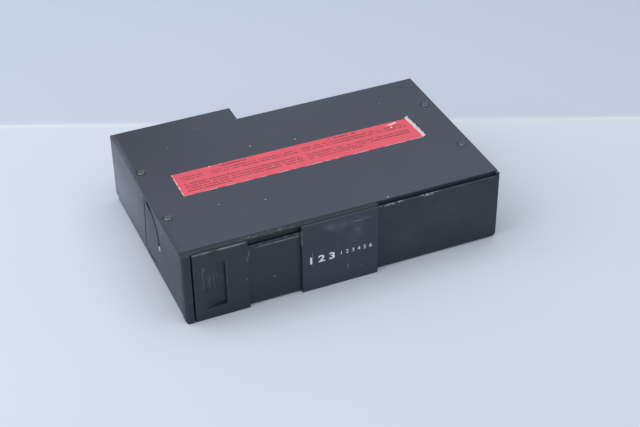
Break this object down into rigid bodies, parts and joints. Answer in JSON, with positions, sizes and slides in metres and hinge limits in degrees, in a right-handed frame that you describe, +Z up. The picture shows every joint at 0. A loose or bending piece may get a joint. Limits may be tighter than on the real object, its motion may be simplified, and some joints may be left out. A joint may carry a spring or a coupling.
{
  "type": "car CD changer",
  "caption": "Low, wide car CD changer: steel case with a stepped back, a sliding door in two leaves, a disc magazine with trays, and a player on a lift.",
  "frame": {"origin": "middle of the bounding box, at its underside", "axes": "+X to the right along the front, +Y from the front to the back, +Z up; the door faces -Y"},
  "size_m": [0.255, 0.175, 0.0601],
  "materials": {
    "cover_steel": "satin dark blue-grey coating",
    "zinc_steel": "zinc plated sheet",
    "screw_steel": "plated",
    "label_film": "matt printed film",
    "case_plastic": "fine matt grain",
    "lever_plastic": "matt",
    "spring_steel": "bright wire",
    "damper_rubber": "soft rubber cups",
    "bright_rod": "ground and polished",
    "motor_steel": "satin can",
    "pinion_brass": "plain",
    "gear_plastic": "natural acetal",
    "frame_plastic": "matt black",
    "sled_plastic": "matt black",
    "lens_glass": "clear, blue tint",
    "magazine_plastic": "matt",
    "tray_plastic": "matt",
    "disc_plastic": "polished, reflective",
    "board_green": "solder mask",
    "chip_black": "matt",
    "ribbon_grey": "matt",
    "can_aluminium": "satin",
    "socket_plastic": "matt"
  },
  "bodies": {
    "case": {"top_cover": "cover_steel", "bottom_chassis": "cover_steel", "rear_panel": "cover_steel", "cover_screws": "screw_steel", "top_label": "label_film", "bracket_nuts": "screw_steel", "front_bezel": "case_plastic", "bezel_screws": "screw_steel", "dampers": "damper_rubber", "suspension_springs": "spring_steel", "main_board": "board_green", "board_components": "chip_black", "board_ribbon": "ribbon_grey", "power_board": "board_green", "filter_capacitors": "can_aluminium", "heat_sink": "can_aluminium", "power_socket": "socket_plastic", "bus_socket": "socket_plastic"},
    "outer_leaf": {"door_outer": "case_plastic"},
    "inner_leaf": {"door_inner": "case_plastic"},
    "button": {"eject_button": "case_plastic", "eject_spring": "spring_steel"},
    "left_lever": {"angle_lever_left": "lever_plastic"},
    "right_lever": {"angle_lever_right": "lever_plastic"},
    "deck": {"mech_deck": "zinc_steel", "guide_posts": "bright_rod", "tray_motor": "motor_steel", "lift_motor": "motor_steel", "ejector_spring": "spring_steel"},
    "ejector": {"ejector_arm": "gear_plastic"},
    "tray_motor_pinion": {"tray_pinion": "pinion_brass"},
    "tray_drive": {"drive_shaft": "gear_plastic"},
    "lift_motor_pinion": {"lift_pinion": "pinion_brass"},
    "screw": {"lift_screw": "gear_plastic"},
    "lift": {"elevator_frame": "frame_plastic", "traverse_plate": "zinc_steel", "guide_rods": "bright_rod", "spindle_motor": "motor_steel", "feed_motor": "motor_steel"},
    "sliding_gear": {"tray_gear": "gear_plastic"},
    "platter": {"turntable": "frame_plastic"},
    "clamp": {"clamp_arm": "zinc_steel"},
    "puck": {"clamp_puck": "frame_plastic"},
    "pickup": {"pickup_sled": "sled_plastic", "pickup_lens": "lens_glass"},
    "feed": {"feed_screw": "bright_rod"},
    "magazine": {"magazine_case": "magazine_plastic"},
    "drawer_1": {"tray_1": "tray_plastic", "disc_1": "disc_plastic"},
    "drawer_2": {"tray_2": "tray_plastic", "disc_2": "disc_plastic"},
    "drawer_3": {"tray_3": "tray_plastic", "disc_3": "disc_plastic"},
    "drawer_4": {"tray_4": "tray_plastic", "disc_4": "disc_plastic"},
    "drawer_5": {"tray_5": "tray_plastic", "disc_5": "disc_plastic"},
    "drawer_6": {"tray_6": "tray_plastic", "disc_6": "disc_plastic"}
  },
  "joints": [
    {"name": "deck_float", "type": "slide", "parent": "case", "child": "deck", "axis": [0, 0, 1], "range_m": [-0.0015, 0.0015], "stiffness_N_per_m": 8000, "springref_m": 0.00085, "deforming": ["suspension_springs"]},
    {"name": "outer_leaf_slide", "type": "slide", "parent": "case", "child": "outer_leaf", "axis": [1, 0, 0], "range_m": [0, 0.1005]},
    {"name": "inner_leaf_slide", "type": "slide", "parent": "outer_leaf", "child": "inner_leaf", "axis": [1, 0, 0], "range_m": [0, 0.04115]},
    {"name": "button_push", "type": "slide", "parent": "case", "child": "button", "axis": [0, 1, 0], "range_m": [0, 0.002], "stiffness_N_per_m": 400, "springref_m": -0.001, "deforming": ["eject_spring"]},
    {"name": "left_lever_turn", "type": "hinge", "parent": "case", "child": "left_lever", "pos_m": [-0.1247, -0.0079, 0.0324], "axis": [-1, 0, 0], "range_deg": [0, 90]},
    {"name": "right_lever_turn", "type": "hinge", "parent": "case", "child": "right_lever", "pos_m": [0.1247, -0.0079, 0.0324], "axis": [-1, 0, 0], "range_deg": [0, 90]},
    {"name": "magazine_eject", "type": "slide", "parent": "deck", "child": "magazine", "axis": [0, 1, 0], "range_m": [-0.008, 0]},
    {"name": "ejector_swing", "type": "hinge", "parent": "deck", "child": "ejector", "pos_m": [-0.0975, 0.0635, 0.0166], "axis": [0, 0, 1], "range_deg": [-21.52, 0]},
    {"name": "tray_drive_spin", "type": "hinge", "parent": "deck", "child": "tray_drive", "pos_m": [0.014, 0.0592, 0.0094], "axis": [0, 0, 1], "continuous": true},
    {"name": "tray_pinion_spin", "type": "hinge", "parent": "deck", "child": "tray_motor_pinion", "pos_m": [0.0228, 0.0611, 0.0074], "axis": [0, 0, 1], "continuous": true},
    {"name": "lift_screw_spin", "type": "hinge", "parent": "deck", "child": "screw", "pos_m": [0.1161, 0.0385, 0.0094], "axis": [0, 0, 1], "continuous": true},
    {"name": "lift_pinion_spin", "type": "hinge", "parent": "deck", "child": "lift_motor_pinion", "pos_m": [0.11828, 0.02823, 0.0074], "axis": [0, 0, 1], "continuous": true},
    {"name": "lift_slide", "type": "slide", "parent": "deck", "child": "lift", "axis": [0, 0, -1], "range_m": [-0.0357, 0]},
    {"name": "sliding_gear_spin", "type": "hinge", "parent": "lift", "child": "sliding_gear", "pos_m": [0.014, 0.0592, 0.013], "axis": [0, 0, 1], "continuous": true},
    {"name": "turntable_spin", "type": "hinge", "parent": "lift", "child": "platter", "pos_m": [0.0445, -0.0065, 0.0114], "axis": [0, 0, 1], "continuous": true},
    {"name": "clamp_swing", "type": "hinge", "parent": "lift", "child": "clamp", "pos_m": [0.1108, -0.0065, 0.0174], "axis": [0, 1, 0], "range_deg": [-2.6, 0]},
    {"name": "puck_spin", "type": "hinge", "parent": "clamp", "child": "puck", "pos_m": [0.0445, -0.0065, 0.0174], "axis": [0, 0, 1], "continuous": true},
    {"name": "pickup_slide", "type": "slide", "parent": "lift", "child": "pickup", "axis": [1, 0, 0], "range_m": [0, 0.033]},
    {"name": "feed_screw_spin", "type": "hinge", "parent": "lift", "child": "feed", "pos_m": [0.0605, 0.016, 0.0062], "axis": [1, 0, 0], "continuous": true},
    {"name": "tray_1_slide", "type": "slide", "parent": "magazine", "child": "drawer_1", "axis": [1, 0, 0], "range_m": [0, 0.094]},
    {"name": "tray_2_slide", "type": "slide", "parent": "magazine", "child": "drawer_2", "axis": [1, 0, 0], "range_m": [0, 0.094]},
    {"name": "tray_3_slide", "type": "slide", "parent": "magazine", "child": "drawer_3", "axis": [1, 0, 0], "range_m": [0, 0.094]},
    {"name": "tray_4_slide", "type": "slide", "parent": "magazine", "child": "drawer_4", "axis": [1, 0, 0], "range_m": [0, 0.094]},
    {"name": "tray_5_slide", "type": "slide", "parent": "magazine", "child": "drawer_5", "axis": [1, 0, 0], "range_m": [0, 0.094]},
    {"name": "tray_6_slide", "type": "slide", "parent": "magazine", "child": "drawer_6", "axis": [1, 0, 0], "range_m": [0, 0.094]}
  ],
  "couplings": [
    {"joint": "ejector_swing", "follows": "magazine_eject", "rad_per_m": 46.521},
    {"joint": "tray_drive_spin", "follows": "tray_6_slide", "rad_per_m": 333.33},
    {"joint": "sliding_gear_spin", "follows": "tray_6_slide", "rad_per_m": 333.33},
    {"joint": "tray_pinion_spin", "follows": "tray_6_slide", "rad_per_m": -866.67},
    {"joint": "lift_screw_spin", "follows": "lift_slide", "rad_per_m": 1570.8},
    {"joint": "lift_pinion_spin", "follows": "lift_slide", "rad_per_m": -5026.5},
    {"joint": "feed_screw_spin", "follows": "pickup_slide", "rad_per_m": 3141.6}
  ]
}
